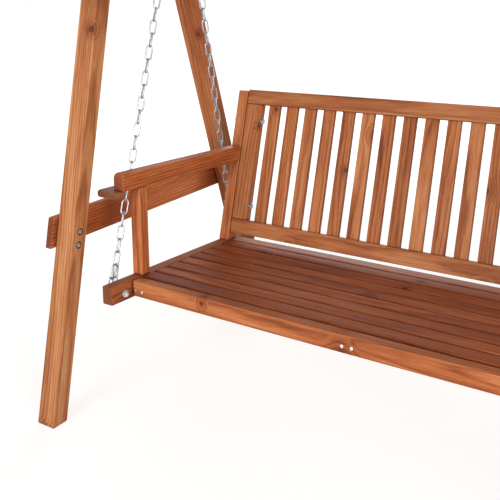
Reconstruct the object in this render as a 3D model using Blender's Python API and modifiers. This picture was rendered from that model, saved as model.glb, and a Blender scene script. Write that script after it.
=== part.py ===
"""Wooden porch swing: an A-frame stand with a slatted bench that hangs on four chains.

Metres, +Z up, +X along the bench, the sitter faces -Y.
The origin is on the ground under the middle of the stand.
"""
import bpy
import bmesh
from math import cos, pi, radians, sin, tan
from mathutils import Matrix, Vector

# ---- fits ----
seat_gap = 0.0003           # between two pieces that rest on each other
hole_clearance = 0.0004     # around a bolt in its hole
edge_round = 0.003          # rounding along the edges of the planed timber

# ---- bench ----
bench_width = 1.474         # over the two side rails
seat_front_height = 0.441   # top of the side rails' front ends above the ground
seat_front_y = -0.440       # front ends of the side rails
seat_tilt = radians(3.34)   # the seat falls towards the back
side_thickness = 0.037      # side rails, arm posts, arm rails and back posts
side_height = 0.0535
rear_stub = 0.0971          # side rails behind the rearmost seat slat
chain_inset = 0.051         # chain bolt from either end of a side rail
front_rail_y = 0.0794       # front face of the front rail, from the side rails' front ends
front_rail_depth = 0.037
front_rail_height = 0.049
seat_slat_count = 9
seat_slat_width = 0.045
seat_slat_gap = 0.0085
seat_slat_thickness = 0.020
bearer_width = 0.045
arm_post_y = 0.123
arm_post_depth = 0.033
arm_clear_height = 0.263    # underside of the arm rail above the seat
arm_height = 0.0505
arm_front_y = 0.060
arm_nose_radius = 0.014
ledge_width = 0.044         # small board outside the arm rail's front end
ledge_front_y = 0.028
ledge_rear_y = 0.106
ledge_thickness = 0.018
ledge_drop = 0.016          # the ledge's underside below the arm rail's underside
ledge_corner = 0.022

# ---- backrest ----
back_inset = 0.0629         # back posts' front faces at seat level, before the seat's rear edge
back_lean = radians(14.08)
back_post_length = 0.513
back_post_depth = 0.045
panel_setback = 0.004       # panel's front face behind the posts' front faces
panel_depth = 0.028
panel_bottom = 0.029        # lower rail's underside above the seat, along the posts
lower_rail_height = 0.049
upper_rail_height = 0.048
panel_rise = 0.005          # panel's top above the posts' tops
stile_width = 0.060
back_slat_count = 18
back_slat_width = 0.0415
back_slat_depth = 0.016
back_slat_tenon = 0.012     # length of a slat inside either rail
back_bolt_insets = (0.049, 0.055)  # from the lower and the upper rail

# ---- stand ----
leg_clearance = 0.140       # between the side rails and the legs
leg_width = 0.069
leg_depth = 0.052           # measured level, front to back
foot_spread = 0.550         # outermost edge of each foot from the middle
stand_height = 1.785        # top of the beam and of the legs
cross_board_thickness = 0.025
cross_board_height = 0.090
cross_board_overhang = 0.017
side_board_bottom = 0.510
beam_width = 0.060
beam_height = 0.095
beam_clearance = 0.003      # between the beam and the legs' tops
beam_bolt_drop = 0.024      # beam bolt below the top
leg_bolt_rises = (0.011, 0.049)  # above the side boards' undersides

# ---- hardware ----
bolt_radius = 0.005
bolt_head_radius = 0.0085
bolt_head_height = 0.0055
nut_height = 0.007
bolt_tip = 0.003
bolt_sides = 10
counterbore_radius = 0.011
counterbore_depth = 0.008
eye_wire = 0.004            # radius of the eye's wire
eye_radius = 0.016          # to the middle of the wire
eye_stem = 0.010            # from the eye's middle line to the beam's underside
hook_wire = 0.0035
hook_radius = 0.0105
hook_straight = 0.0158
lower_eye_wire = 0.0035
lower_eye_radius = 0.010
chain_rod_radius = 0.0045   # plain rod that stands for the links
chain_stand_off = 0.017     # chain's lower end outside the side rails
chain_top_offset = 0.0055   # the two chains of a side lie next to each other in the hook
hook_inset = 0.010          # hooks inside the side rails' outer faces

# ---- worked out from the sizes above ----
half_width = bench_width / 2
inner_half = half_width - side_thickness
seat_rear_y = front_rail_y + front_rail_depth + seat_slat_count * (seat_slat_width + seat_slat_gap)
side_length = seat_rear_y + rear_stub
back_front_y = seat_rear_y - back_inset
back_slope = tan(back_lean)
panel_top = back_post_length + panel_rise
back_bolt_heights = (panel_bottom + lower_rail_height + back_bolt_insets[0],
                     panel_top - upper_rail_height - back_bolt_insets[1])
lean_slope = (foot_spread - leg_depth - beam_width / 2 - beam_clearance) / stand_height
leg_bolt_heights = [side_board_bottom + rise for rise in leg_bolt_rises]
beam_bottom = stand_height - beam_height
eye_height = beam_bottom - eye_stem - eye_radius
hook_x = half_width - hook_inset
hook_top = eye_height - eye_radius + eye_wire + hook_wire + seat_gap
hook_bottom = hook_top - 2 * hook_radius - hook_straight
leg_outer_x = half_width + leg_clearance + leg_width
leg_mid_x = leg_outer_x - leg_width / 2
cross_board_x = leg_outer_x + seat_gap + cross_board_thickness / 2
beam_half_length = leg_outer_x + seat_gap + cross_board_thickness
beam_bolt_seat = foot_spread - lean_slope * (stand_height - beam_bolt_drop) - counterbore_depth
chain_bolt_z = -side_height * 0.59
bolt_hole_radius = bolt_radius + hole_clearance

wood_colour = (0.42, 0.13, 0.03)
steel_colour = (0.62, 0.63, 0.65)
across = Vector((1, 0, 0))
along = Vector((0, 1, 0))
up = Vector((0, 0, 1))


def clear_scene():
    for thing in list(bpy.data.objects):
        bpy.data.objects.remove(thing, do_unlink=True)


def new_collection(name):
    made = bpy.data.collections.new(name)
    bpy.context.scene.collection.children.link(made)
    return made


def finish(piece, colour, roughness, metallic):
    made = bpy.data.materials.new(piece.name + "_finish")
    made.use_nodes = True
    shader = made.node_tree.nodes["Principled BSDF"]
    shader.inputs["Base Color"].default_value = (*colour, 1)
    shader.inputs["Roughness"].default_value = roughness
    shader.inputs["Metallic"].default_value = metallic
    made.diffuse_color = (*colour, 1)
    piece.data.materials.append(made)


def as_wood(piece):
    finish(piece, wood_colour, 0.55, 0.0)
    return piece


def as_steel(piece):
    finish(piece, steel_colour, 0.35, 1.0)
    piece.data.shade_smooth()
    piece.data.set_sharp_from_angle(angle=radians(40))
    return piece


def empty(name, location, turn_x, parent=None):
    made = bpy.data.objects.new(name, None)
    made.location = location
    made.rotation_euler.x = turn_x
    made.parent = parent
    parts.objects.link(made)
    return made


def add_object(name, bm, home, parent=None):
    mesh = bpy.data.meshes.new(name)
    bm.to_mesh(mesh)
    bm.free()
    made = bpy.data.objects.new(name, mesh)
    made.parent = parent
    home.objects.link(made)
    if home is cutters:
        made.hide_render = True
        made.display_type = "WIRE"
    return made


def box_mesh(low, high, reshape=None):
    """A box between two corners; reshape moves its eight corners."""
    bm = bmesh.new()
    bmesh.ops.create_cube(bm, size=1)
    low, high = Vector(low), Vector(high)
    for vert in bm.verts:
        vert.co = Vector(high[i] if vert.co[i] > 0 else low[i] for i in range(3))
        if reshape:
            reshape(vert.co)
    return bm


def board(name, low, high, parent=None, reshape=None, soften=True):
    """A piece of planed timber with softly rounded edges."""
    made = add_object(name, box_mesh(low, high, reshape), parts, parent)
    if soften:
        add_bevel(made)
    return as_wood(made)


def add_bevel(piece):
    bevel = piece.modifiers.new("soft_edges", "BEVEL")
    bevel.width = edge_round
    bevel.segments = 2
    bevel.limit_method = "ANGLE"
    bevel.angle_limit = radians(40)
    return bevel


def add_boolean(piece, other, operation):
    join = piece.modifiers.new(other.name, "BOOLEAN")
    join.operation = operation
    join.solver = "EXACT"
    join.object = other
    return join


def cylinder_into(bm, start, end, radius, sides=12):
    start, end = Vector(start), Vector(end)
    run = end - start
    place = Matrix.Translation((start + end) / 2) @ run.to_track_quat("Z", "Y").to_matrix().to_4x4()
    bmesh.ops.create_cone(bm, cap_ends=True, segments=sides, radius1=radius, radius2=radius,
                          depth=run.length, matrix=place)


def drill(piece, holes):
    """Cut round holes, each a start, an end and a radius in the piece's parent's frame."""
    bm = bmesh.new()
    for start, end, radius in holes:
        cylinder_into(bm, start, end, radius)
    tool = add_object(piece.name + "_drill", bm, cutters, piece.parent)
    add_boolean(piece, tool, "DIFFERENCE").use_self = True


def turned(name, profile, place, direction, home, parent=None, sides=bolt_sides):
    """Turn a profile of (radius, height) round its axis, and point its foot along direction."""
    bm = bmesh.new()
    verts = [bm.verts.new((radius, 0, height)) for radius, height in profile]
    for first, second in zip(verts, verts[1:]):
        bm.edges.new((first, second))
    made = add_object(name, bm, home, parent)
    made.location = place
    made.rotation_mode = "QUATERNION"
    made.rotation_quaternion = Vector(direction).to_track_quat("-Z", "Y")
    screw = made.modifiers.new("turn", "SCREW")
    screw.axis = "Z"
    screw.steps = screw.render_steps = sides
    screw.use_merge_vertices = True
    screw.merge_threshold = 0.0001
    return made


def bolt(name, seat, direction, grip, parent=None):
    """A bolt whose head rests at seat; its nut is grip further along direction."""
    nut_face = -grip - 2 * seat_gap
    profile = [(0, bolt_head_height), (bolt_head_radius * 0.7, bolt_head_height),
               (bolt_head_radius, bolt_head_height * 0.5), (bolt_head_radius, 0),
               (bolt_radius, 0), (bolt_radius, nut_face),
               (bolt_head_radius, nut_face), (bolt_head_radius, nut_face - nut_height),
               (bolt_radius, nut_face - nut_height), (bolt_radius, nut_face - nut_height - bolt_tip),
               (0, nut_face - nut_height - bolt_tip)]
    place = Vector(seat) - Vector(direction) * seat_gap
    return as_steel(turned(name, profile, place, direction, parts, parent))


def ring(name, centre, hole_axis, radius, wire, home, parent=None, stretch=0.0):
    """A wire ring; stretch lengthens it along the local Y into a link."""
    bpy.ops.mesh.primitive_torus_add(major_segments=16, minor_segments=6,
                                     major_radius=radius, minor_radius=wire)
    made = bpy.context.object
    made.name = made.data.name = name
    for vert in made.data.vertices:
        if vert.co.y > 0.0001:
            vert.co.y += stretch / 2
        elif vert.co.y < -0.0001:
            vert.co.y -= stretch / 2
    for held in list(made.users_collection):
        held.objects.unlink(made)
    home.objects.link(made)
    made.parent = parent
    made.location = centre
    made.rotation_mode = "QUATERNION"
    made.rotation_quaternion = Vector(hole_axis).to_track_quat("Z", "Y")
    if home is cutters:
        made.hide_render = True
        made.display_type = "WIRE"
    return made


def outline_board(name, outline, low, thickness, parent):
    """A board cut to a flat outline, with its underside at height low."""
    curve = bpy.data.curves.new(name, "CURVE")
    curve.dimensions = "2D"
    curve.fill_mode = "BOTH"
    curve.extrude = thickness / 2
    spline = curve.splines.new("POLY")
    spline.points.add(len(outline) - 1)
    for point, (x, y) in zip(spline.points, outline):
        point.co = (x, y, 0, 1)
    spline.use_cyclic_u = True
    drawn = bpy.data.objects.new(name + "_outline", curve)
    parts.objects.link(drawn)
    bpy.context.view_layer.update()
    solid = bpy.data.meshes.new_from_object(drawn.evaluated_get(bpy.context.evaluated_depsgraph_get()))
    bpy.data.objects.remove(drawn, do_unlink=True)
    bm = bmesh.new()
    bm.from_mesh(solid)
    bpy.data.meshes.remove(solid)
    bmesh.ops.remove_doubles(bm, verts=bm.verts, dist=0.00001)
    bmesh.ops.recalc_face_normals(bm, faces=bm.faces)
    made = add_object(name, bm, parts, parent)
    made.location.z = low + thickness / 2
    return as_wood(made)


def arc(centre, radius, first, last, steps=5):
    turns = [first + (last - first) * i / steps for i in range(steps + 1)]
    return [(centre[0] + radius * cos(t), centre[1] + radius * sin(t)) for t in turns]


def side_x(side, low, high):
    """X limits of a piece between low and high on the given side (-1 left, 1 right)."""
    return (side * low, side * high) if side > 0 else (side * high, side * low)


# ---------------------------------------------------------------- stand


def leg(name, side, facing):
    """facing -1 is the front leg, 1 the rear one; both lean in towards the middle."""
    x_low, x_high = side_x(side, leg_outer_x - leg_width, leg_outer_x)

    def lean(corner):
        inner = facing * corner.y < 0
        corner.y = facing * (foot_spread - leg_depth * inner - lean_slope * corner.z)

    made = board(name, (x_low, -1, 0), (x_high, 1, stand_height), reshape=lean)
    inner = side * (leg_outer_x - leg_width)
    holes = []
    for height in leg_bolt_heights:
        mid = facing * (foot_spread - leg_depth / 2 - lean_slope * height)
        holes.append(((inner - side * 0.01, mid, height), (side * (leg_outer_x + 0.01), mid, height),
                      bolt_hole_radius))
        holes.append(((inner - side * 0.01, mid, height), (inner + side * counterbore_depth, mid, height),
                      counterbore_radius))
    height = stand_height - beam_bolt_drop
    sunk = facing * beam_bolt_seat
    holes.append(((side * leg_mid_x, 0, height), (side * leg_mid_x, facing * 0.2, height), bolt_hole_radius))
    holes.append(((side * leg_mid_x, sunk, height), (side * leg_mid_x, facing * 0.2, height),
                  counterbore_radius))
    drill(made, holes)
    return made


def cross_board(name, side, bottom, bolt_heights):
    """A level board on the outer faces of two legs, its ends cut parallel to them."""
    x_low, x_high = side_x(side, leg_outer_x + seat_gap, beam_half_length)

    def slant(corner):
        reach = foot_spread + cross_board_overhang - lean_slope * corner.z
        corner.y = reach if corner.y > 0 else -reach

    top = bottom + cross_board_height - seat_gap
    made = board(name, (x_low, -1, bottom), (x_high, 1, top), reshape=slant)
    holes = []
    for height in bolt_heights:
        mid = foot_spread - leg_depth / 2 - lean_slope * height
        for facing in (-1, 1):
            holes.append(((side * leg_outer_x, facing * mid, height),
                          (side * (beam_half_length + 0.01), facing * mid, height), bolt_hole_radius))
    if holes:
        drill(made, holes)
    return made


def leg_bolts(label, side, facing):
    for number, height in enumerate(leg_bolt_heights, 1):
        mid = facing * (foot_spread - leg_depth / 2 - lean_slope * height)
        inner = leg_outer_x - leg_width + counterbore_depth
        bolt(f"{label}_bolt_{number}", (side * inner, mid, height), across * side, beam_half_length - inner)


def top_beam():
    made = board("top_beam", (-beam_half_length, -beam_width / 2, beam_bottom),
                 (beam_half_length, beam_width / 2, stand_height))
    height = stand_height - beam_bolt_drop
    holes = []
    for side in (-1, 1):
        holes.append(((side * hook_x, 0, beam_bottom - 0.01), (side * hook_x, 0, stand_height + 0.01),
                      bolt_hole_radius))
        holes.append(((side * leg_mid_x, -beam_width, height), (side * leg_mid_x, beam_width, height),
                      bolt_hole_radius))
    drill(made, holes)


def eye_bolt(name, side):
    """An eye that hangs under the beam on a shank with a nut on top."""
    grip = beam_height + eye_stem
    nut_foot = grip + 2 * seat_gap
    profile = [(0, nut_foot + nut_height + bolt_tip), (bolt_radius, nut_foot + nut_height + bolt_tip),
               (bolt_radius, nut_foot + nut_height), (bolt_head_radius, nut_foot + nut_height),
               (bolt_head_radius, nut_foot), (bolt_radius, nut_foot), (bolt_radius, 0), (0, 0)]
    place = (side * hook_x, 0, eye_height + eye_radius)
    made = turned(name, profile, place, -up, parts)
    loop = ring(name + "_loop", (side * hook_x, 0, eye_height), across, eye_radius, eye_wire, cutters)
    add_boolean(made, loop, "UNION")
    return as_steel(made)


# ---------------------------------------------------------------- bench


def side_rail(name, side):
    x_low, x_high = side_x(side, inner_half, half_width)
    made = board(name, (x_low, 0, -side_height), (x_high, side_length, 0), bench)
    holes = []
    for y in (chain_inset, side_length - chain_inset):
        holes.append(((side * (inner_half - 0.01), y, chain_bolt_z),
                      (side * (half_width + 0.01), y, chain_bolt_z), bolt_hole_radius))
    drill(made, holes)


def chain_bolt(name, side, y):
    """A bolt through the side rail whose outer end is an eye for the chain."""
    reach = chain_stand_off - lower_eye_radius
    foot = -reach - side_thickness - 2 * seat_gap
    profile = [(0, 0), (bolt_radius, 0), (bolt_radius, foot), (bolt_head_radius, foot),
               (bolt_head_radius, foot - nut_height), (bolt_radius, foot - nut_height),
               (bolt_radius, foot - nut_height - bolt_tip), (0, foot - nut_height - bolt_tip)]
    eye_x = side * (half_width + chain_stand_off)
    place = (side * (half_width + reach), y, chain_bolt_z)
    made = turned(name, profile, place, -across * side, parts, bench)
    loop = ring(name + "_loop", (eye_x, y, chain_bolt_z), along, lower_eye_radius, lower_eye_wire,
                cutters, bench)
    add_boolean(made, loop, "UNION")
    return as_steel(made)


def front_rail():
    reach = inner_half - seat_gap
    made = board("front_rail", (-reach, front_rail_y, -front_rail_height),
                 (reach, front_rail_y + front_rail_depth, 0), bench)
    made.modifiers["soft_edges"].width = edge_round * 2


def seat_slats():
    reach = inner_half - seat_gap
    first = front_rail_y + front_rail_depth + seat_slat_gap
    for number in range(seat_slat_count):
        y = first + number * (seat_slat_width + seat_slat_gap)
        board(f"seat_slat_{number + 1}", (-reach, y, -seat_slat_thickness),
              (reach, y + seat_slat_width, 0), bench)


def bearers():
    """Three rails from front to back that carry the seat slats."""
    edge = inner_half - seat_gap - bearer_width / 2
    front_y = front_rail_y + front_rail_depth + seat_gap
    for label, middle in (("left", -edge), ("middle", 0), ("right", edge)):
        board(f"{label}_bearer",
              (middle - bearer_width / 2, front_y, -side_height),
              (middle + bearer_width / 2, seat_rear_y, -seat_slat_thickness - seat_gap), bench)


def arm_post(name, side):
    x_low, x_high = side_x(side, inner_half, half_width)
    board(name, (x_low, arm_post_y, seat_gap),
          (x_high, arm_post_y + arm_post_depth, arm_clear_height - seat_gap), bench)


def arm_rail(name, side):
    """On edge on its post, its rear end cut to the lean of the back post."""
    x_low, x_high = side_x(side, inner_half, half_width)

    def meet_post(corner):
        if corner.y > 0:
            corner.y = back_front_y + back_slope * corner.z - seat_gap / cos(back_lean)
        else:
            corner.y = arm_front_y

    top = arm_clear_height + arm_height
    bm = box_mesh((x_low, -1, arm_clear_height), (x_high, 1, top), meet_post)
    nose = [edge for edge in bm.edges
            if all(abs(v.co.y - arm_front_y) < 1e-6 and abs(v.co.z - top) < 1e-6 for v in edge.verts)]
    bmesh.ops.bevel(bm, geom=nose, offset=arm_nose_radius, segments=4, profile=0.5, affect="EDGES")
    made = as_wood(add_object(name, bm, parts, bench))
    add_bevel(made)


def arm_ledge(name, side):
    """A small board with a round corner, notched round the front end of the arm rail."""
    inner, outer = -side_thickness, ledge_width
    rear_round = ledge_corner / 3
    outline = [(inner, arm_front_y - seat_gap), (inner, ledge_front_y)]
    outline += arc((outer - ledge_corner, ledge_front_y + ledge_corner), ledge_corner, -pi / 2, 0)
    outline += arc((outer - rear_round, ledge_rear_y - rear_round), rear_round, 0, pi / 2)
    outline += [(seat_gap, ledge_rear_y), (seat_gap, arm_front_y - seat_gap)]
    placed = [(side * (half_width + x), y) for x, y in outline]
    outline_board(name, placed, arm_clear_height - ledge_drop, ledge_thickness, bench)


# ---------------------------------------------------------------- backrest


def back_post(name, side):
    """Stands on the side rail; its foot is cut to the lean."""
    x_low, x_high = side_x(side, inner_half, half_width)

    def cut_foot(corner):
        if corner.z < back_post_length / 2:
            corner.z = back_slope * corner.y + seat_gap

    made = board(name, (x_low, 0, 0), (x_high, back_post_depth, back_post_length), back, cut_foot)
    middle = panel_setback + panel_depth / 2
    drill(made, [((side * (inner_half - 0.01), middle, z), (side * (half_width + 0.01), middle, z),
                  bolt_hole_radius) for z in back_bolt_heights])


def back_panel():
    """Two rails, two stiles and the slats, glued up as one panel between the back posts."""
    reach = inner_half - seat_gap
    front, rear = panel_setback, panel_setback + panel_depth
    rails_bottom = panel_bottom + lower_rail_height
    rails_top = panel_top - upper_rail_height
    made = board("back_panel", (-reach, front, panel_bottom), (reach, rear, rails_bottom), back, soften=False)
    upper_blank = box_mesh((-reach, front, rails_top), (reach, rear, panel_top))
    upper = add_object("upper_rail_blank", upper_blank, cutters, back)
    uprights = bmesh.new()
    tenon = back_slat_tenon
    for side in (-1, 1):
        x_low, x_high = side_x(side, reach - stile_width, reach)
        add_box(uprights, (x_low, front, rails_bottom - tenon), (x_high, rear, rails_top + tenon))
    span = 2 * (reach - stile_width)
    gap = (span - back_slat_count * back_slat_width) / (back_slat_count + 1)
    y = front + (panel_depth - back_slat_depth) / 2
    for number in range(back_slat_count):
        x = -span / 2 + gap + number * (back_slat_width + gap)
        add_box(uprights, (x, y, rails_bottom - tenon),
                (x + back_slat_width, y + back_slat_depth, rails_top + tenon))
    upright_blanks = add_object("upright_blanks", uprights, cutters, back)
    add_boolean(made, upright_blanks, "UNION")
    add_boolean(made, upper, "UNION")
    middle = panel_setback + panel_depth / 2
    drill(made, [((side * (reach - stile_width - 0.01), middle, z), (side * (reach + 0.01), middle, z),
                  bolt_hole_radius) for side in (-1, 1) for z in back_bolt_heights])


def add_box(bm, low, high):
    low, high = Vector(low), Vector(high)
    place = Matrix.Translation((low + high) / 2) @ Matrix.Diagonal((*(high - low), 1))
    bmesh.ops.create_cube(bm, size=1, matrix=place)


def back_bolts(label, side):
    middle = panel_setback + panel_depth / 2
    inner = inner_half - seat_gap - stile_width
    for number, height in enumerate(back_bolt_heights, 1):
        bolt(f"{label}_back_bolt_{number}", (side * inner, middle, height), across * side,
             half_width - inner, back)


# ---------------------------------------------------------------- chains


def chain(name, side, y, top_shift):
    """A straight rod of the chain's length, from the lower eye to the hook."""
    eye = bench_matrix @ Vector((side * (half_width + chain_stand_off), y, chain_bolt_z))
    top = Vector((side * (hook_x + top_shift), 0, hook_bottom - hook_wire))
    run = (top - eye).normalized()
    start = eye + run * (lower_eye_radius + lower_eye_wire + seat_gap)
    end = top - run * seat_gap
    bm = bmesh.new()
    cylinder_into(bm, start - swing_centre, end - swing_centre, chain_rod_radius, 8)
    as_steel(add_object(name, bm, parts, swing))


clear_scene()
parts = new_collection("porch_swing")
cutters = new_collection("cutters")
swing_centre = Vector((0, 0, eye_height))
swing = empty("swing_pivot", swing_centre, 0)
bench_start = Vector((0, seat_front_y, seat_front_height))
bench_matrix = Matrix.Translation(bench_start) @ Matrix.Rotation(-seat_tilt, 4, "X")
bench = empty("bench_frame", bench_start - swing_centre, -seat_tilt, swing)
back = empty("back_frame", (0, back_front_y, 0), -back_lean, bench)

for side, hand in ((-1, "left"), (1, "right")):
    for facing, end in ((-1, "front"), (1, "rear")):
        leg(f"{hand}_{end}_leg", side, facing)
        leg_bolts(f"{hand}_{end}_leg", side, facing)
    cross_board(f"{hand}_side_board", side, side_board_bottom, leg_bolt_heights)
    cross_board(f"{hand}_top_board", side, beam_bottom - cross_board_height, ())
    bolt(f"{hand}_beam_bolt", (side * leg_mid_x, -beam_bolt_seat, stand_height - beam_bolt_drop),
         along, 2 * beam_bolt_seat)
    eye_bolt(f"{hand}_eye_bolt", side)
    hook_middle = (side * hook_x, 0, (hook_top + hook_bottom) / 2 - eye_height)
    as_steel(ring(f"{hand}_hook", hook_middle, along, hook_radius, hook_wire, parts, swing, hook_straight))
    side_rail(f"{hand}_side_rail", side)
    for end, y, shift in (("front", chain_inset, chain_top_offset),
                          ("rear", side_length - chain_inset, -chain_top_offset)):
        chain_bolt(f"{hand}_{end}_chain_bolt", side, y)
        chain(f"{hand}_{end}_chain", side, y, shift)
    arm_post(f"{hand}_arm_post", side)
    arm_rail(f"{hand}_arm_rail", side)
    arm_ledge(f"{hand}_arm_ledge", side)
    back_post(f"{hand}_back_post", side)
    back_bolts(hand, side)

top_beam()
front_rail()
seat_slats()
bearers()
back_panel()
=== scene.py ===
import bpy, bmesh, random
from math import cos, pi, radians, sin
from mathutils import Matrix, Vector


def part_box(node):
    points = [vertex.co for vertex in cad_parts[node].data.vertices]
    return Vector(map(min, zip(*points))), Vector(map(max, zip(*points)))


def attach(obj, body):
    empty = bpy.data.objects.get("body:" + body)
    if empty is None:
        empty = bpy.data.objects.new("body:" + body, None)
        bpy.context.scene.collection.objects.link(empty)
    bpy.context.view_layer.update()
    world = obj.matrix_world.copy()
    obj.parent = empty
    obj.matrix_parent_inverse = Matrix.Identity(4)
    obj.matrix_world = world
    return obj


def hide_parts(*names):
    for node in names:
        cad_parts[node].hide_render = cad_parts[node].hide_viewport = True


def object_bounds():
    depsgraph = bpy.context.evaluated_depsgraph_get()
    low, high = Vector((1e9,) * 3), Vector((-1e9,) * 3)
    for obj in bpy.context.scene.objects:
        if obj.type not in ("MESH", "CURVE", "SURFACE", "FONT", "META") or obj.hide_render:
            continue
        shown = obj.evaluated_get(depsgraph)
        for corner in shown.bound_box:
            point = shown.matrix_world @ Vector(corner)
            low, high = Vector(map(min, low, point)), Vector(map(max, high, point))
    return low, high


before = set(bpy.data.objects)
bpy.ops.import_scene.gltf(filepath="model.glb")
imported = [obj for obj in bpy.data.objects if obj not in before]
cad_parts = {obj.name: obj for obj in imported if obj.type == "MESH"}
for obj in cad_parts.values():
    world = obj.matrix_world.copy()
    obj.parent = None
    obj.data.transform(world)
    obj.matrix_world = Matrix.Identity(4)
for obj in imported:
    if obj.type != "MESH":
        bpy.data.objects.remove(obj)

# Porch swing: frame legs, beam and bench are the CAD timber with a stained spruce finish;
# the back panel, the ledges, the chains and all the steel are built here in full detail.

cadLow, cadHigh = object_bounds()
scene = bpy.context.scene
scene.view_settings.view_transform = "Standard"
sides = {"left": -1, "right": 1}
benchTilt = radians(3.34)             # the seat falls towards the back
backLean = radians(14.08) + benchTilt
legSlope = 0.2605                     # how far a leg leans in for each metre of height


def linear(hexColour, tone=1.0, redder=0.0):  # sRGB hex to linear RGBA; redder takes from green and blue
    channels = [int(hexColour[i:i + 2], 16) / 255 for i in (1, 3, 5)]
    flat = [c / 12.92 if c <= 0.04045 else ((c + 0.055) / 1.055) ** 2.4 for c in channels]
    taken = (0, 0.6 * redder, redder)
    return (*(min(c * tone * (1 - less), 1) for c, less in zip(flat, taken)), 1)


def addNode(tree, kind, settings=None, links=None):  # settings and links by name or socket number
    node = tree.nodes.new(kind)
    for key, value in (settings or {}).items():
        if isinstance(key, str) and hasattr(node, key):
            setattr(node, key, value)
        else:
            node.inputs[key].default_value = value
    for key, source in (links or {}).items():
        tree.links.new(source.outputs[0] if hasattr(source, "outputs") else source, node.inputs[key])
    return node


def feed(tree, shader, sources):  # links each output to the shader's socket of that name
    for name, source in sources.items():
        tree.links.new(source, shader.inputs[name])


def newMaterial(name):
    made = bpy.data.materials.new(name)
    made.use_nodes = True
    return made, made.node_tree, made.node_tree.nodes["Principled BSDF"]


def addPiece(name, bm, smooth=35, place=None):  # links a mesh and shades it smooth below an angle
    mesh = bpy.data.meshes.new(name)
    bmesh.ops.recalc_face_normals(bm, faces=bm.faces)
    bm.to_mesh(mesh)
    bm.free()
    mesh.shade_smooth()
    mesh.set_sharp_from_angle(angle=radians(smooth))
    piece = bpy.data.objects.new(name, mesh)
    if place:
        piece.matrix_world = place
    scene.collection.objects.link(piece)
    return piece


def settle(piece, material, body, node=None):  # finish, slot, body and the node it stands for
    piece.data.materials.append(material)
    if node:
        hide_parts(node)
    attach(piece, body)


def corners(node):
    low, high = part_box(node)
    return Vector(low), Vector(high)


# metres, degrees and, for the lens, mm
cameraSet = {"place": (0.774, -1.7919, 1.2755), "yaw": 32.42, "pitch": -13.92, "roll": -1.52,
             "lens": 53.54, "shift": (-0.0885, -0.1805)}


def makeCamera(settings):
    data = bpy.data.cameras.new("camera")
    data.lens, data.sensor_width = settings["lens"], 36
    data.shift_x, data.shift_y = settings["shift"]
    data.clip_start, data.clip_end = 0.05, 100
    camera = bpy.data.objects.new("camera", data)
    turns = ((settings["yaw"], "Z"), (90 + settings["pitch"], "X"), (settings["roll"], "Z"))
    camera.matrix_world = Matrix.Translation(settings["place"])
    for angle, axis in turns:
        camera.matrix_world = camera.matrix_world @ Matrix.Rotation(radians(angle), 4, axis)
    scene.collection.objects.link(camera)
    scene.camera = camera


makeCamera(cameraSet)
print("camera ready")

# the floor is lifted towards white from near to far, in metres round the object's middle
studio = {"sky": 0.38, "floorHex": "#b3afaa", "floorLift": (0.70, 0.92), "near": 1.2, "far": 5.0,
          "floorSize": 60, "floorDrop": 0.0005, "aim": (0, 0, 0.8),
          "key": {"place": (4.4, -3.0, 1.5), "size": 2.4, "power": 215},
          "fill": {"place": (-0.6, -5.0, 1.4), "size": 3.0, "power": 150},
          "rear": {"place": (-2.5, 4.2, 2.2), "size": 3.0, "power": 90}}


def seenDirectly(tree):  # 1 for the rays that show the background itself
    path = addNode(tree, "ShaderNodeLightPath")
    camera, glossy, through = (path.outputs[f"Is {kind} Ray"]
                               for kind in ("Camera", "Glossy", "Transmission"))
    either = addNode(tree, "ShaderNodeMath", {"operation": "MAXIMUM"}, {0: camera, 1: glossy})
    return addNode(tree, "ShaderNodeMath", {"operation": "MAXIMUM"}, {0: either, 1: through})


def makeSky(strength):
    world = bpy.data.worlds.new("studioSky")
    world.use_nodes = True
    tree = world.node_tree
    tree.nodes.clear()
    level = addNode(tree, "ShaderNodeMapRange", {"To Min": strength, "To Max": 1.0},
                    {"Value": seenDirectly(tree)})
    shade = addNode(tree, "ShaderNodeBackground", {"Color": (1, 1, 1, 1)}, {"Strength": level})
    addNode(tree, "ShaderNodeOutputWorld", {}, {"Surface": shade})
    scene.world = world


def makeFloor(settings):  # matt paper that keeps a soft shadow
    paper = bpy.data.materials.new("matt white studio paper")
    paper.use_nodes = True
    tree = paper.node_tree
    tree.nodes.clear()
    matt = addNode(tree, "ShaderNodeBsdfDiffuse", {"Color": linear(settings["floorHex"])})
    where = addNode(tree, "ShaderNodeTexCoord")
    away = addNode(tree, "ShaderNodeVectorMath", {"operation": "LENGTH"}, {0: where.outputs["Object"]})
    nearLift, farLift = settings["floorLift"]
    level = addNode(tree, "ShaderNodeMapRange", {"From Min": settings["near"], "From Max": settings["far"],
                    "To Min": nearLift, "To Max": farLift}, {"Value": away.outputs["Value"]})
    lift = addNode(tree, "ShaderNodeMath", {"operation": "MULTIPLY"}, {0: seenDirectly(tree), 1: level})
    glow = addNode(tree, "ShaderNodeEmission", {"Color": (1, 1, 1, 1)}, {"Strength": lift})
    both = addNode(tree, "ShaderNodeAddShader", {}, {0: matt, 1: glow})
    addNode(tree, "ShaderNodeOutputMaterial", {}, {"Surface": both})
    bm = bmesh.new()
    bmesh.ops.create_grid(bm, x_segments=1, y_segments=1, size=settings["floorSize"] / 2)
    floor = addPiece("floor", bm, 35, Matrix.Translation((0, 0, cadLow[2] - settings["floorDrop"])))
    floor.data.materials.append(paper)


def makeLamp(name, settings):  # a round soft box that looks at the bench
    lamp = bpy.data.lights.new(name, "AREA")
    lamp.shape, lamp.size, lamp.energy = "DISK", settings["size"], settings["power"]
    holder = bpy.data.objects.new(name, lamp)
    holder.location = settings["place"]
    look = Vector(studio["aim"]) - holder.location
    holder.rotation_euler = look.to_track_quat("-Z", "Y").to_euler()
    scene.collection.objects.link(holder)


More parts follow.
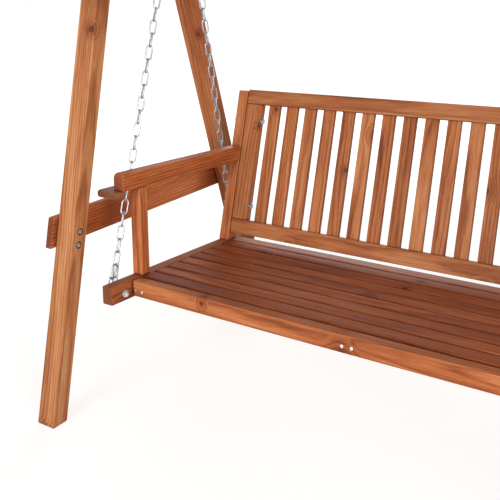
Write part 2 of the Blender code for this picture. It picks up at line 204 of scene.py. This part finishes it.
makeSky(studio["sky"])
makeFloor(studio)
for lampName in ("key", "fill", "rear"):
    makeLamp(lampName, studio[lampName])
print("studio ready")

# Planed knotty spruce under a satin orange-brown wood stain. The soft early wood drinks the stain and
# the hard late wood stays glossier, so the year rings show as wandering darker streaks with fine fibres.
# The pairs named Size are in mm along and across the grain.
spruce = {"pale": "#cf8f5f", "middle": "#ad6539", "dark": "#71351a", "knot": "#532715", "end": "#6b3a26",
          "middleAt": 0.48,                   # where the middle colour lies between pale and dark
          "ringMm": 10.0,                     # true rings are 2-4 mm, drawn wider so that they show
          "ringShape": ((0.38, 0.15), (0.80, 1.0)), "ringAfter": 0.08,  # slow rise to late wood, sharp fall
          "heartFar": (0.028, 0.07),          # metres from the board's middle to the heart of the tree
          "skew": 1.4, "slide": 9,            # degrees off the board's length, and metres along the tree
          "wanderMm": 40, "wanderSize": (833.3, 125),      # slow drift of the rings
          "waverMm": 6.0, "waverSize": (142.86, 16.667),   # quick drift of the rings
          "fibreSize": (83.33, 3.0),          # true fibres are 0.04 mm wide, drawn coarser so that they show
          "patchSize": (500, 62.5), "stainSize": (1000, 250),  # clouds in the stain
          "ringShare": 0.33, "fibreShare": 1.05, "patchShare": 1.10, "stainShare": 0.50, "haloShare": 0.25,
          "paler": 0.95,                      # takes all the shares back to the middle of the colours
          "knotRowMm": 90, "knotEveryMm": 300, "knotShare": 0.38,  # cells, and how many hold a knot
          "knotMm": (4.5, 10), "knotBulgeMm": 15,  # least and largest radius, and how far rings give way
          "knotSlim": 0.7,                    # a knot's width as a share of its length along the grain
          "knotRim": (1.15, 0.75), "haloRim": (4.5, 0.6),  # where each starts and is full, in knot radii
          "knotFull": 0.85,                   # how far a knot hides the colour below it
          "roughness": (0.46, 0.66), "ior": 1.5, "specular": 0.2,
          "bump": 0.25, "bumpMm": 0.7, "ringGroove": 0.4,         # dark rings lie a little lower
          "creviceShade": "#40190c", "creviceMm": 10, "creviceDark": 0.85,  # painted shade: the colour goes darker where boards meet and little open sky reaches
          "creviceFree": (0.30, 0.85),        # share of open sky where it is darkest, and where it ends
          "endDark": 0.7, "sideShade": 0.5,    # end grain goes darker as it drinks more stain; the back slats' sides get painted shade
          "sawnFacing": (0.7, 0.96)}          # how squarely a face must turn to count as one of them


def grainPattern(tree, along, size, detail=2.0, roughness=0.5):  # soft noise stretched along the grain
    lengthwise, across = (1000 / mm for mm in size)
    stretched = addNode(tree, "ShaderNodeMapping", {"Scale": (lengthwise, across, across)}, {"Vector": along})
    return addNode(tree, "ShaderNodeTexNoise", {"Scale": 1.0, "Detail": detail, "Roughness": roughness},
                   {"Vector": stretched})


def knotPattern(tree, along, knots):  # one knot in each lucky cell of a grid that runs through the piece
    every, row = spruce["knotEveryMm"], spruce["knotRowMm"]
    skewed = addNode(tree, "ShaderNodeVectorRotate", {"rotation_type": "X_AXIS", "Angle": radians(45)},
                     {"Vector": along})
    grid = addNode(tree, "ShaderNodeMapping", {"Scale": (1000 / every, 1000 / row, 0)}, {"Vector": skewed})
    cell = addNode(tree, "ShaderNodeTexVoronoi", {"voronoi_dimensions": "2D", "Scale": 1.0}, {"Vector": grid})
    offset = addNode(tree, "ShaderNodeVectorMath", {"operation": "SUBTRACT"},
                     {0: grid, 1: cell.outputs["Position"]})
    offsetMm = addNode(tree, "ShaderNodeVectorMath",
                       {"operation": "MULTIPLY", 1: (every * spruce["knotSlim"], row, 0)}, {0: offset})
    far = addNode(tree, "ShaderNodeVectorMath", {"operation": "LENGTH"}, {0: offsetMm}).outputs["Value"]
    lucky = addNode(tree, "ShaderNodeSeparateColor", {}, {"Color": cell.outputs["Color"]})
    limit = 1 - spruce["knotShare"] * knots
    chosen = addNode(tree, "ShaderNodeMath", {"operation": "GREATER_THAN", 1: limit}, {0: lucky})
    smallest, largest = spruce["knotMm"]
    size = addNode(tree, "ShaderNodeMapRange", {"From Min": limit, "To Min": smallest, "To Max": largest},
                   {"Value": lucky})
    size = addNode(tree, "ShaderNodeMath", {"operation": "MULTIPLY_ADD", 2: 0.01},
                   {0: size, 1: chosen})  # 0.01 mm where the cell has no knot, so that the next step divides
    reach = addNode(tree, "ShaderNodeMath", {"operation": "DIVIDE"}, {0: far, 1: size})
    rim, haloRim = spruce["knotRim"], spruce["haloRim"]
    core = addNode(tree, "ShaderNodeMapRange", {"interpolation_type": "SMOOTHSTEP", "From Min": rim[0],
                   "From Max": rim[1], "To Max": spruce["knotFull"]}, {"Value": reach})
    halo = addNode(tree, "ShaderNodeMapRange", {"interpolation_type": "SMOOTHERSTEP", "From Min": haloRim[0],
                   "From Max": haloRim[1]}, {"Value": reach})
    return core, halo


def ringPattern(tree, along, halo):  # year rings round the heart, pushed about and bulging round the knots
    flat = addNode(tree, "ShaderNodeVectorMath", {"operation": "MULTIPLY", 1: (0, 1000, 1000)}, {0: along})
    radius = addNode(tree, "ShaderNodeVectorMath", {"operation": "LENGTH"}, {0: flat}).outputs["Value"]
    for push, source in ((spruce["wanderMm"], grainPattern(tree, along, spruce["wanderSize"])),
                         (spruce["waverMm"], grainPattern(tree, along, spruce["waverSize"])),
                         (spruce["knotBulgeMm"], halo)):
        radius = addNode(tree, "ShaderNodeMath", {"operation": "MULTIPLY_ADD", 1: push},
                         {0: source, 2: radius})
    counted = addNode(tree, "ShaderNodeMath", {"operation": "DIVIDE", 1: spruce["ringMm"]}, {0: radius})
    phase = addNode(tree, "ShaderNodeMath", {"operation": "FRACT"}, {0: counted})
    ring = addNode(tree, "ShaderNodeValToRGB", {}, {"Fac": phase})
    ring.color_ramp.interpolation = "EASE"
    for spot, level in spruce["ringShape"]:
        ring.color_ramp.elements.new(spot).color = (level, level, level, 1)
    after = spruce["ringAfter"]
    ring.color_ramp.elements[3].color = (after, after, after, 1)
    return ring


def spruceMaterial(name, grain, seed, tone=1.0, centre=(0, 0, 0), knots=1.0, redder=0.0, shadedSideAxis=None):
    luck = random.Random(seed)
    made, tree, shader = newMaterial("stained spruce " + name)
    grain = Vector(grain).normalized()
    toGrain = grain.rotation_difference(Vector((1, 0, 0))).to_matrix()
    skew, slide = spruce["skew"], spruce["slide"]
    toGrain = (Matrix.Rotation(radians(luck.uniform(-skew, skew)), 3, "Y")
               @ Matrix.Rotation(radians(luck.uniform(-skew, skew)), 3, "Z") @ toGrain)
    heartTurn, heartFar = luck.uniform(0, 2 * pi), luck.uniform(*spruce["heartFar"])
    heart = Vector((luck.uniform(-slide, slide), heartFar * cos(heartTurn), heartFar * sin(heartTurn)))
    where = addNode(tree, "ShaderNodeTexCoord")
    along = addNode(tree, "ShaderNodeMapping",
                    {"Rotation": toGrain.to_euler(), "Location": heart - toGrain @ Vector(centre)},
                    {"Vector": where.outputs["Object"]})

    core, halo = knotPattern(tree, along, knots)
    ring = ringPattern(tree, along, halo)
    fibre = grainPattern(tree, along, spruce["fibreSize"], 3.0, 0.65)
    patch = grainPattern(tree, along, spruce["patchSize"])
    stain = grainPattern(tree, along, spruce["stainSize"], 1.0)
    figure = addNode(tree, "ShaderNodeMath",
                     {"operation": "MULTIPLY_ADD", 1: spruce["ringShare"], 2: -spruce["paler"]}, {0: ring})
    for weight, source in ((spruce["fibreShare"], fibre), (spruce["patchShare"], patch),
                           (spruce["stainShare"], stain), (spruce["haloShare"], halo)):
        figure = addNode(tree, "ShaderNodeMath", {"operation": "MULTIPLY_ADD", 1: weight},
                         {0: source, 2: figure})
    tint = addNode(tree, "ShaderNodeValToRGB", {}, {"Fac": figure})
    tint.color_ramp.elements[0].color = linear(spruce["pale"], tone, redder)
    tint.color_ramp.elements[1].color = linear(spruce["dark"], tone, redder)
    tint.color_ramp.elements.new(spruce["middleAt"]).color = linear(spruce["middle"], tone, redder)

    layers = [(core, "knot")]  # what is laid over the tint, and its colour
    # end grain drinks more stain and goes darker; faces turned to the given side axis get painted shade, in
    # the same end colour
    for axis, share in ((grain, spruce["endDark"]), (shadedSideAxis, spruce["sideShade"])):
        if axis:
            facing = addNode(tree, "ShaderNodeVectorMath", {"operation": "DOT_PRODUCT", 1: axis},
                             {0: where.outputs["Normal"]}).outputs["Value"]
            faced = addNode(tree, "ShaderNodeMath", {"operation": "ABSOLUTE"}, {0: facing})
            endGrainAndSideShade = addNode(tree, "ShaderNodeMapRange", {"interpolation_type": "SMOOTHSTEP",
                           "From Min": spruce["sawnFacing"][0], "From Max": spruce["sawnFacing"][1],
                           "To Max": share}, {"Value": faced})
            layers.append((endGrainAndSideShade, "end"))
    # painted shade: ambient occlusion darkens the colour where boards meet and in narrow gaps, where shade
    # falls
    free = addNode(tree, "ShaderNodeAmbientOcclusion", {"samples": 4, "Distance": spruce["creviceMm"] / 1000})
    closed, clear = spruce["creviceFree"]
    paintedShade = addNode(tree, "ShaderNodeMapRange", {"From Min": closed, "From Max": clear,
                       "To Min": spruce["creviceDark"], "To Max": 0.0}, {"Value": free.outputs["AO"]})
    layers.append((paintedShade, "creviceShade"))
    colour = tint
    for share, layer in layers:
        mixed = addNode(tree, "ShaderNodeMix", {"data_type": "RGBA", 7: linear(spruce[layer], tone, redder)},
                        {0: share, 6: colour})
        colour = mixed.outputs[2]
    smooth, coarse = spruce["roughness"]
    rough = addNode(tree, "ShaderNodeMapRange", {"To Min": smooth, "To Max": coarse}, {"Value": fibre})
    height = addNode(tree, "ShaderNodeMath", {"operation": "MULTIPLY_ADD", 1: -spruce["ringGroove"]},
                     {0: ring, 2: fibre})
    bump = addNode(tree, "ShaderNodeBump",
                   {"Strength": spruce["bump"], "Distance": spruce["bumpMm"] / 1000}, {"Height": height})
    feed(tree, shader, {"Base Color": colour, "Roughness": rough.outputs[0], "Normal": bump.outputs[0]})
    shader.inputs["IOR"].default_value = spruce["ior"]
    shader.inputs["Specular IOR Level"].default_value = spruce["specular"]
    return made


# Zinc-plated steel: cool and pale, a little cloudy, with soft highlights. Chain and bolts share one plating;
# the bolts' copy is paler as a painted highlight and the chain's copy darker as painted shade.
plating = {"cloudMm": 5, "cloudEdge": 0.7, "roughness": (0.28, 0.46), "bump": 0.12, "bumpMm": 0.2,
           "chain": {"light": "#aeb2b9", "cloud": "#6c717a"},
           "bolt": {"light": "#e2e5e9", "cloud": "#a5aab1"}}


def zincMaterial(name, colours):
    made, tree, shader = newMaterial(name)
    where = addNode(tree, "ShaderNodeTexCoord")
    cloud = addNode(tree, "ShaderNodeTexNoise", {"Scale": 1000 / plating["cloudMm"], "Detail": 3.0},
                    {"Vector": where.outputs["Object"]})
    tint = addNode(tree, "ShaderNodeValToRGB", {}, {"Fac": cloud})
    tint.color_ramp.elements[0].color = linear(colours["cloud"])
    tint.color_ramp.elements[1].color = linear(colours["light"])
    tint.color_ramp.elements[1].position = plating["cloudEdge"]
    bright, dull = plating["roughness"]
    rough = addNode(tree, "ShaderNodeMapRange", {"To Min": bright, "To Max": dull}, {"Value": cloud})
    bump = addNode(tree, "ShaderNodeBump",
                   {"Strength": plating["bump"], "Distance": plating["bumpMm"] / 1000}, {"Height": cloud})
    feed(tree, shader,
         {"Base Color": tint.outputs[0], "Roughness": rough.outputs[0], "Normal": bump.outputs[0]})
    shader.inputs["Metallic"].default_value = 1.0
    return made


# one plating in two copies: darker as painted shade, paler as painted highlight
paintedDarkZinc = zincMaterial("zinc-plated chain steel with painted shade", plating["chain"])
paintedBrightZinc = zincMaterial("zinc-plated bolt steel with painted highlight", plating["bolt"])
print("materials ready")

alongBench = (0, cos(benchTilt), -sin(benchTilt))
upBench = (0, sin(benchTilt), cos(benchTilt))
upBack = (0, sin(backLean), cos(backLean))
# Each board's grain, tone, share of knots and how much redder it is; sideTimber is made for both hands.
sideTimber = {"front_leg": ((0, legSlope, 1), 1.02, 1.3, -0.22),
              "rear_leg": ((0, -legSlope, 1), 0.92, 1.3, 0.1),
              "side_board": ((0, 1, 0), 0.95, 0.6, 0.35), "top_board": ((0, 1, 0), 0.90, 0.6, 0.2),
              "side_rail": (alongBench, 0.86, 0.6, 0.15), "bearer": (alongBench, 0.75, 0.5, 0.2),
              "arm_post": (upBench, 1.08, 1.0, 0.1), "arm_rail": (alongBench, 1.10, 0.5, 0.2),
              "back_post": (upBack, 0.92, 0.8, 0.1)}
timber = {"top_beam": ((1, 0, 0), 1.0, 1.0, 0.0), "front_rail": ((1, 0, 0), 0.92, 1.2, 0.15),
          "middle_bearer": (alongBench, 0.75, 0.5, 0.2)}
seatShadedTones = (0.66, 0.71, 0.65, 0.73, 0.68, 0.64, 0.70, 0.66, 0.69)  # painted shade: the seat slats are toned darker than the other boards, as their tops catch less light; each slat differs a little at random; front slat first
for hand in sides:
    timber |= {f"{hand}_{part}": looks for part, looks in sideTimber.items()}
timber |= {f"seat_slat_{number}": ((1, 0, 0), tone, 0.8, 0.55) for number, tone in enumerate(seatShadedTones, 1)}


def finishTimber():
    for order, (node, (grain, tone, knots, redder)) in enumerate(timber.items()):
        low, high = corners(node)
        finish = spruceMaterial(node, grain, 100 + order, tone, (low + high) / 2, knots, redder)
        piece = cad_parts[node]
        if not piece.material_slots:
            piece.data.materials.append(finish)
        for held in piece.material_slots:
            held.material = finish


finishTimber()
print("timber finished")

panel = {"slats": 18, "slatWidth": 0.0415, "slatDepth": 0.016, "depth": 0.028, "height": 0.489,
         "lowerRail": 0.049, "upperRail": 0.048, "stile": 0.060, "stileThinner": 0.001,
         "edge": 0.0032, "tenon": 0.002, "slatTones": (0.85, 0.95)}


def addBoard(name, leaning, size, centre, wood, node=None):  # planed board with rounded edges
    bm = bmesh.new()
    bmesh.ops.create_cube(bm, size=1, matrix=Matrix.Diagonal((*size, 1)))
    bmesh.ops.bevel(bm, geom=list(bm.edges), offset=panel["edge"], segments=3, profile=0.5, affect="EDGES")
    piece = addPiece(name, bm, 35, leaning @ Matrix.Translation(centre))
    settle(piece, spruceMaterial(name, **wood), "bench", node)


def makeBackPanel():  # two rails across, two stiles and the slats between them
    low, high = corners("back_panel")
    depth, stile, slat, half = panel["depth"], panel["stile"], panel["slatWidth"], high.x
    foot = Vector((0, low.y, low.z + depth * sin(backLean)))
    leaning = Matrix.Translation(foot) @ Matrix.Rotation(-backLean, 4, "X")
    opening = panel["height"] - panel["lowerRail"] - panel["upperRail"]
    middle, centreZ = depth / 2, panel["lowerRail"] + opening / 2
    across, upright = (1, 0, 0), (0, 0, 1)

    lower, upper = panel["lowerRail"], panel["upperRail"]
    addBoard("back_lower_rail", leaning, (2 * half, depth, lower), (0, middle, lower / 2),
             {"grain": across, "tone": 0.84, "seed": 301, "knots": 1.3}, "back_panel")
    addBoard("back_upper_rail", leaning, (2 * half, depth, upper), (0, middle, panel["height"] - upper / 2),
             {"grain": across, "tone": 0.80, "seed": 302, "knots": 0.4})
    for hand, side in sides.items():
        addBoard(f"{hand}_stile", leaning, (stile, depth - panel["stileThinner"], opening),
                 (side * (half - stile / 2), middle, centreZ),
                 {"grain": upright, "tone": 0.86, "seed": 310 + side})
    span = 2 * (half - stile)
    gap = (span - panel["slats"] * slat) / (panel["slats"] + 1)
    luck = random.Random(8)
    for number in range(panel["slats"]):
        x = -span / 2 + gap + slat / 2 + number * (slat + gap)
        # the slats' sides get painted shade
        wood = {"grain": upright, "tone": luck.uniform(*panel["slatTones"]), "seed": 330 + number,
                "knots": 1.2, "shadedSideAxis": across}
        addBoard(f"back_slat_{number + 1}", leaning, (slat, panel["slatDepth"], opening + 2 * panel["tenon"]),
                 (x, middle, centreZ), wood)


makeBackPanel()
print("back panel ready")

ledge = {"inner": -0.037, "outer": 0.044, "front": 0.028, "rear": 0.106, "notch": 0.0597,
         "postGap": 0.0004, "thickness": 0.018, "corner": 0.022, "rearCorner": 0.022 / 3, "edge": 0.005,
         "tone": 0.62, "knots": 0.2}


def arcPoints(centre, radius, first, last, steps=8):
    turns = (first + (last - first) * i / steps for i in range(steps + 1))
    return [(centre[0] + radius * cos(t), centre[1] + radius * sin(t)) for t in turns]


def makeLedge(hand, side):  # small notched board by the front end of the arm rail
    inner, outer, front, rear = (ledge[edge] for edge in ("inner", "outer", "front", "rear"))
    notch, postGap = ledge["notch"], ledge["postGap"]
    corner, rearCorner = ledge["corner"], ledge["rearCorner"]
    outline = [(inner, notch), (inner, front)]
    outline += arcPoints((outer - corner, front + corner), corner, -pi / 2, 0)
    outline += arcPoints((outer - rearCorner, rear - rearCorner), rearCorner, 0, pi / 2, 4)
    outline += [(postGap, rear), (postGap, notch)]
    bm = bmesh.new()
    face = bm.faces.new([bm.verts.new((side * x, y - front, 0)) for x, y in outline])
    grown = bmesh.ops.extrude_face_region(bm, geom=[face])
    bmesh.ops.translate(bm, vec=(0, 0, ledge["thickness"]),
                        verts=[item for item in grown["geom"] if isinstance(item, bmesh.types.BMVert)])
    rims = [edge for edge in bm.edges if abs(edge.verts[0].co.z - edge.verts[1].co.z) < 1e-6]
    bmesh.ops.bevel(bm, geom=rims, offset=ledge["edge"], segments=3, profile=0.5, affect="EDGES")
    low, high = corners(f"{hand}_arm_ledge")
    outerFace = low.x + outer if side < 0 else high.x - outer
    place = (Matrix.Translation((outerFace, low.y, high.z - ledge["thickness"] / cos(benchTilt)))
             @ Matrix.Rotation(-benchTilt, 4, "X"))
    wood = spruceMaterial(f"{hand} ledge", (0, 1, 0), 400 + side, ledge["tone"], knots=ledge["knots"])
    settle(addPiece(f"{hand}_ledge", bm, 35, place), wood, "bench", f"{hand}_arm_ledge")


for hand, side in sides.items():
    makeLedge(hand, side)
print("ledges ready")


def addWire(bm, points, radius, around=10):  # sweeps a round wire along a closed flat path
    count, loops, side = len(points), [], None
    for i, point in enumerate(points):
        run = (points[(i + 1) % count] - points[i - 1]).normalized()
        side = side or run.orthogonal()
        side = (side - run * side.dot(run)).normalized()
        up = run.cross(side)
        loops.append([bm.verts.new(point + radius * (side * cos(t) + up * sin(t)))
                      for t in (2 * pi * k / around for k in range(around))])
    # the last loop may have turned against the first
    turned = min(range(around), key=lambda k: (loops[-1][0].co - loops[0][k].co).length)
    for i, here in enumerate(loops):
        there = loops[(i + 1) % count]
        slip = turned if i == count - 1 else 0
        for k in range(around):
            beside = (k + 1) % around
            bm.faces.new((here[k], here[beside], there[(beside + slip) % around], there[(k + slip) % around]))


def linkPath(centre, run, wide, inside, wire, width, steps=8):  # two straights and two half-round bends
    radius = width / 2 - wire
    straight = inside / 2 + wire - radius
    bend = [(radius * sin(pi * i / steps), radius * cos(pi * i / steps)) for i in range(steps + 1)]
    return [centre + run * end * (straight + out) + wide * end * across
            for end in (1, -1) for out, across in bend]


chainSet = {"wire": 0.0022, "width": 0.0212, "pitch": 0.0385, "forkLinks": 2, "forkSpread": 0.0100,
            "forkStart": 0.0024,              # the two strands start side by side in the last single link
            "rod": 0.0045,                    # radius of the plain CAD chain
            "aboveRod": 0.0085, "belowRod": 0.0150,  # how far the links reach past its ends
            "twist": 58}                      # degrees that the chain's middle is turned against its ends


def addLinks(bm, top, foot, wide, count, twist):  # a straight run of links, each a quarter turn from the last
    run = (foot - top).normalized()
    pitch = (foot - top).length / count
    wide = (wide - run * wide.dot(run)).normalized()
    for i in range(count):
        fromMiddle = (2 * (i + 0.5) / count - 1) ** 4
        turn = Matrix.Rotation(pi / 2 * i + radians(twist) * (1 - fromMiddle), 3, run)
        centre = top + run * pitch * (i + 0.5)
        path = linkPath(centre, run, turn @ wide, pitch, chainSet["wire"], chainSet["width"])
        addWire(bm, path, chainSet["wire"], around=8)


def makeChain(hand, side, end):
    node, rod = f"{hand}_{end}_chain", chainSet["rod"]
    facing = -1 if end == "front" else 1
    low, high = corners(node)
    outX, inX = (low.x + rod, high.x - rod) if side < 0 else (high.x - rod, low.x + rod)
    farY, nearY = (low.y + rod, high.y - rod) if facing < 0 else (high.y - rod, low.y + rod)
    run = Vector((inX - outX, nearY - farY, high.z - low.z)).normalized()
    top = Vector((inX, nearY, high.z)) + run * chainSet["aboveRod"]
    eye = Vector((outX, farY, low.z)) - run * chainSet["belowRod"]
    count = round((top - eye).length / chainSet["pitch"])
    count += count % 2                       # an even number, so that the fork hangs square
    fork = chainSet["forkLinks"]
    split = eye + run * (top - eye).length / count * fork
    wide = Vector((0, 1, 0))
    bm = bmesh.new()
    addLinks(bm, top, split, wide, count - fork, chainSet["twist"] * side)
    for way in (-1, 1):
        addLinks(bm, split + wide * way * chainSet["forkStart"], eye + wide * way * chainSet["forkSpread"],
                 wide, fork, 0)
    settle(addPiece(f"{hand}_{end}_chain_links", bm, 60), paintedDarkZinc, "bench", node)


for hand, side in sides.items():
    for end in ("front", "rear"):
        makeChain(hand, side, end)
print("chains ready")

fastener = {"shank": 0.0049, "shankEdge": 0.0008, "hex": 0.0093, "head": 0.0055, "headStart": 0.002,
            "washer": 0.0106, "washerThick": 0.0016, "washerEdge": 0.0004, "nut": 0.0062, "nutEdge": 0.0016,
            "tip": 0.003, "nutRoom": 0.0070,
            "sunkShare": 0.84}                # heads in the legs' counterbores are a little smaller
chainBolt = {"eyeOut": 0.0135, "eye": 0.010, "wire": 0.0034, "shankStart": 0.008,
             "collar": 0.0090, "collarSpan": (-0.0007, 0.0004), "collarEdge": 0.0003,  # thin, next to the eye
             "pin": 0.0029, "pinRise": 0.0036, "pinLength": 0.030, "pinEdge": 0.0006,  # carries the fork
             "pinHead": 0.0052, "pinHeads": (-0.0015, 0.0295), "headThick": 0.002}
eyeBolt = {"eye": 0.016, "wire": 0.0039, "eyeRise": 0.020, "shankStart": 0.0165, "seat": 0.0002}
hook = {"wire": 0.0034, "width": 0.0276, "sleeveOut": 0.0104, "sleeve": 0.0054, "sleeveHalf": 0.0065}


def pointing(start, direction):  # local Z runs from start along direction
    return Matrix.Translation(start) @ Vector(direction).to_track_quat("Z", "Y").to_matrix().to_4x4()


def addDisc(bm, place, radius, low, high, edge, around=28):  # low and high lie along the local Z
    middle = place @ Matrix.Translation((0, 0, (low + high) / 2))
    made = bmesh.ops.create_cone(bm, cap_ends=True, segments=around, radius1=radius, radius2=radius,
                                 depth=high - low, matrix=middle)
    faces = {face for vert in made["verts"] for face in vert.link_faces}
    caps = [face for face in faces if len(face.verts) == around]
    rims = list({rim for face in caps for rim in face.edges})
    bmesh.ops.bevel(bm, geom=rims, offset=edge, segments=2, profile=0.5, affect="EDGES")


def addRing(bm, centre, across, up, radius, wire, around):  # a round eye of wire
    turns = (2 * pi * i / around for i in range(around))
    addWire(bm, [centre + (Vector(across) * cos(t) + Vector(up) * sin(t)) * radius for t in turns], wire)


def addNut(bm, place, face, outward=1, share=1.0):  # a washer that lies on face and a nut on it
    thick, nut = fastener["washerThick"], fastener["nut"]
    for radius, near, far, edge, around in (
            (fastener["washer"] * share, 0, thick, fastener["washerEdge"], 28),
            (fastener["hex"] * share, thick, thick + nut, fastener["nutEdge"], 6)):
        ends = sorted((face + outward * near, face + outward * far))
        addDisc(bm, place, radius, *ends, edge, around)


def throughBolt(node, body, direction, steel):  # direction points from the head to the nut
    low, high = corners(node)
    axis = Vector(direction)
    length = max(high - low)
    place = pointing((low + high) / 2 - axis * length / 2, axis)
    bm = bmesh.new()
    addDisc(bm, place, fastener["shank"], fastener["headStart"], length, fastener["shankEdge"])
    addNut(bm, place, fastener["head"], -1, fastener["sunkShare"] if body == "stand" else 1.0)
    addNut(bm, place, length - fastener["tip"] - fastener["nutRoom"])
    settle(addPiece(node + "_steel", bm), steel, body, node)


def makeChainBolt(hand, side, end):  # eye outside the side rail, washer and nut inside it
    node = f"{hand}_{end}_chain_bolt"
    low, high = corners(node)
    middle = (low + high) / 2
    outer, inner = (low.x, high.x) if side < 0 else (high.x, low.x)
    eye = Vector((outer - side * chainBolt["eyeOut"], middle.y, middle.z))
    place = pointing((inner, middle.y, middle.z), (side, 0, 0))
    reach = abs(eye.x - inner) - chainBolt["shankStart"]
    bm = bmesh.new()
    addRing(bm, eye, (1, 0, 0), (0, 0, 1), chainBolt["eye"], chainBolt["wire"], 24)
    addDisc(bm, place, fastener["shank"], 0, reach, fastener["shankEdge"])
    addNut(bm, place, fastener["tip"] + fastener["nutRoom"], -1)
    collarIn, collarOut = chainBolt["collarSpan"]
    addDisc(bm, place, chainBolt["collar"], reach + collarIn, reach + collarOut, chainBolt["collarEdge"])
    length, edge = chainBolt["pinLength"], chainBolt["pinEdge"]
    pin = pointing(eye + Vector((0, -length / 2, chainBolt["pinRise"])), (0, 1, 0))
    addDisc(bm, pin, chainBolt["pin"], 0, length, edge, 16)
    for foot in chainBolt["pinHeads"]:
        addDisc(bm, pin, chainBolt["pinHead"], foot, foot + chainBolt["headThick"], edge, 20)
    settle(addPiece(node + "_steel", bm), paintedBrightZinc, "bench", node)


def makeEyeBolt(hand):
    node = f"{hand}_eye_bolt"
    low, high = corners(node)
    beamLow, beamHigh = corners("top_beam")
    eye = Vector(((low.x + high.x) / 2, (low.y + high.y) / 2, low.z + eyeBolt["eyeRise"]))
    place = pointing(eye, (0, 0, 1))
    seat = eyeBolt["seat"]
    under, over = beamLow.z - eye.z - seat, beamHigh.z - eye.z + seat
    bm = bmesh.new()
    addRing(bm, eye, (0, 1, 0), (0, 0, 1), eyeBolt["eye"], eyeBolt["wire"], 28)
    addDisc(bm, place, fastener["shank"], eyeBolt["shankStart"], high.z - eye.z, fastener["shankEdge"])
    addDisc(bm, place, fastener["washer"], under - fastener["washerThick"], under, fastener["washerEdge"])
    addNut(bm, place, over)
    settle(addPiece(node + "_steel", bm), paintedBrightZinc, "stand", node)


def makeHook(hand, side):  # screw link: a long link closed by a threaded sleeve
    node, wire = f"{hand}_hook", hook["wire"]
    low, high = corners(node)
    middle, inside = (low + high) / 2, high.z - low.z - 4 * wire
    bm = bmesh.new()
    addWire(bm, linkPath(middle, Vector((0, 0, 1)), Vector((1, 0, 0)), inside, wire, hook["width"], 10), wire)
    place = pointing(middle + Vector((side * hook["sleeveOut"], 0, 0)), (0, 0, 1))
    addDisc(bm, place, hook["sleeve"], -hook["sleeveHalf"], hook["sleeveHalf"], fastener["shankEdge"], 6)
    settle(addPiece(node + "_steel", bm), paintedBrightZinc, "bench", node)


def makeHardware():
    for hand, side in sides.items():
        for number in (1, 2):
            for end in ("front", "rear"):
                throughBolt(f"{hand}_{end}_leg_bolt_{number}", "stand", (side, 0, 0), paintedBrightZinc)
            throughBolt(f"{hand}_back_bolt_{number}", "bench", (side, 0, 0), paintedDarkZinc)
        throughBolt(f"{hand}_beam_bolt", "stand", (0, 1, 0), paintedBrightZinc)
        makeEyeBolt(hand)
        makeHook(hand, side)
        for end in ("front", "rear"):
            makeChainBolt(hand, side, end)


makeHardware()
print("bolts ready")

screw = {"head": 0.0044, "sunk": 0.002, "proud": 0.0009, "edge": 0.0006,
         "cross": (0.0044, 0.0008, 0.0003),   # length, width and height of a rib
         "apart": 0.013, "railDrop": 0.005, "railInset": 0.0235, "railFace": 0.0014,
         "boardInset": 0.028, "legMiddle": 0.026}


def addScrew(name, place, outward, body):
    bm = bmesh.new()
    seat = pointing(place, outward)
    addDisc(bm, seat, screw["head"], -screw["sunk"], screw["proud"], screw["edge"], 24)
    top = Matrix.Translation((0, 0, screw["proud"]))
    for turn in (0, pi / 2):  # the cross slot is drawn as two fine ribs
        rib = Matrix.Rotation(turn, 4, "Z") @ top @ Matrix.Diagonal((*screw["cross"], 1))
        bmesh.ops.create_cube(bm, size=1, matrix=seat @ rib)
    settle(addPiece(name, bm), paintedBrightZinc, body)


def makeScrews():  # three pairs in the front rail, and a pair through each top board into each leg
    low, high = corners("front_rail")
    outward = Vector((0, -cos(benchTilt), sin(benchTilt)))
    middle = Vector((0, low.y + screw["railFace"], (low.z + high.z) / 2 - screw["railDrop"]))
    inset, apart = screw["railInset"], screw["apart"]
    for label, x in (("left", low.x + inset), ("middle", 0.0), ("right", high.x - inset)):
        for number, way in enumerate((-1, 1), 1):
            place = middle + Vector((x + way * apart, 0, 0))
            addScrew(f"{label}_rail_screw_{number}", place, outward, "bench")
    legFoot = abs(corners("left_front_leg")[0].y) - screw["legMiddle"]
    for hand, side in sides.items():
        low, high = corners(f"{hand}_top_board")
        for facing, end in ((-1, "front"), (1, "rear")):
            for number, z in enumerate((low.z + screw["boardInset"], high.z - screw["boardInset"]), 1):
                place = (low.x if side < 0 else high.x, facing * (legFoot - legSlope * z), z)
                addScrew(f"{hand}_{end}_board_screw_{number}", place, (side, 0, 0), "stand")


makeScrews()
print("screws ready")
